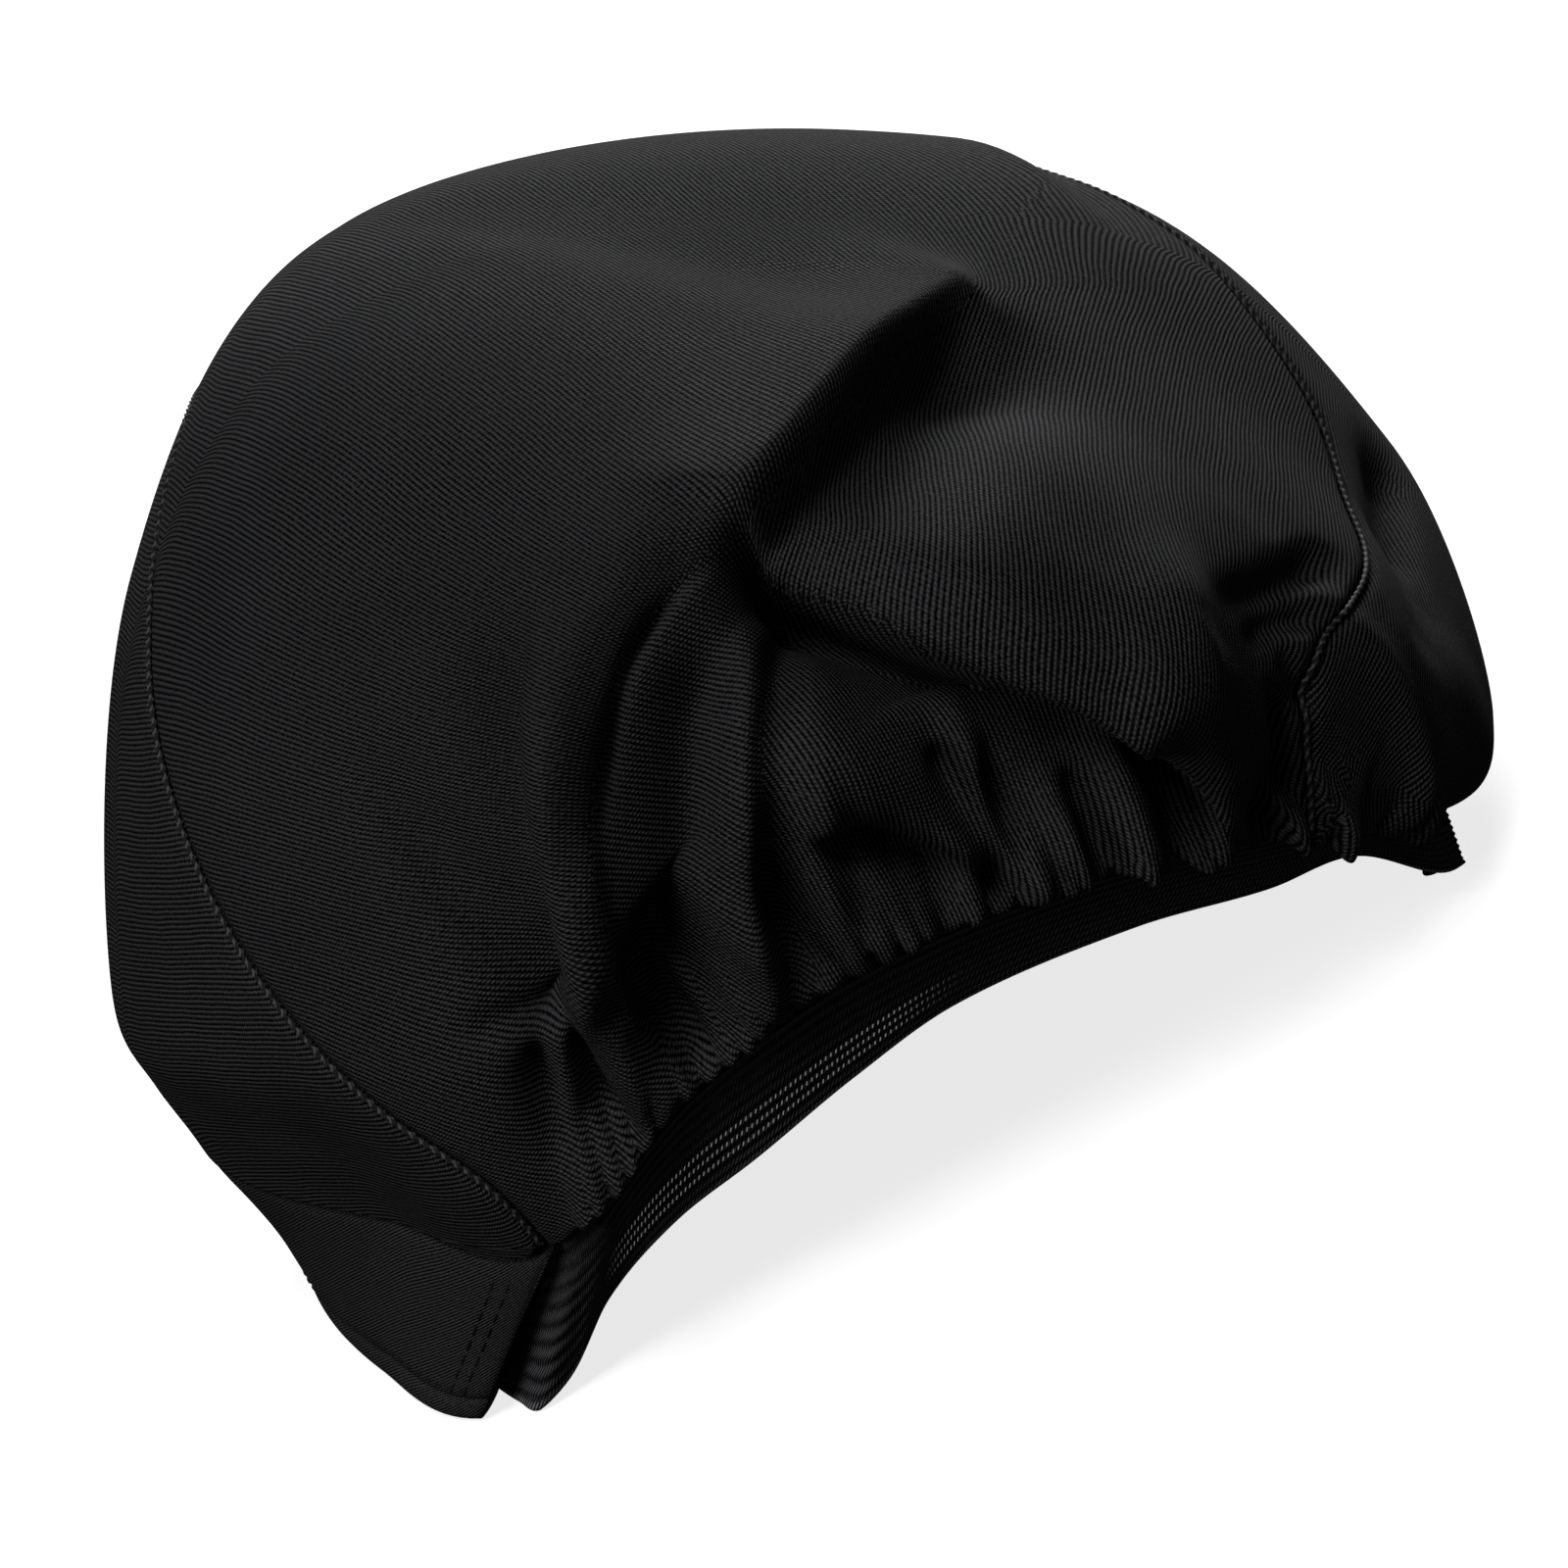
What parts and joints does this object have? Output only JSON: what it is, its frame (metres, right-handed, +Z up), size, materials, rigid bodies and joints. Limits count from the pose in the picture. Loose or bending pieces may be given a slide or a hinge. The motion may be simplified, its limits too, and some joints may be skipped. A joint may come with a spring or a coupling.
{
  "type": "cycling skull cap",
  "caption": "Soft black twill skull cap of long panels on a front band, gathered onto a narrow ribbed elastic at the nape, slack and folded at the back.",
  "frame": {"origin": "middle of the cap's box, on the plane that its rim stands on", "axes": "+Z up through the crown, -Y towards the wearer's brow, +Y towards the nape, +X towards the wearer's left ear"},
  "size_m": [0.2066, 0.1964, 0.141],
  "materials": {
    "twill": "matte black cotton twill with a fine diagonal rib",
    "band_twill": "matte black cotton twill, folded double and hemmed",
    "elastic": "black woven elastic with lengthwise ribs, slight sheen"
  },
  "bodies": {
    "root": {"centre_panel": "twill", "side_panel_left": "twill", "side_panel_right": "twill", "front_band": "band_twill", "elastic_band": "elastic"}
  },
  "joints": []
}
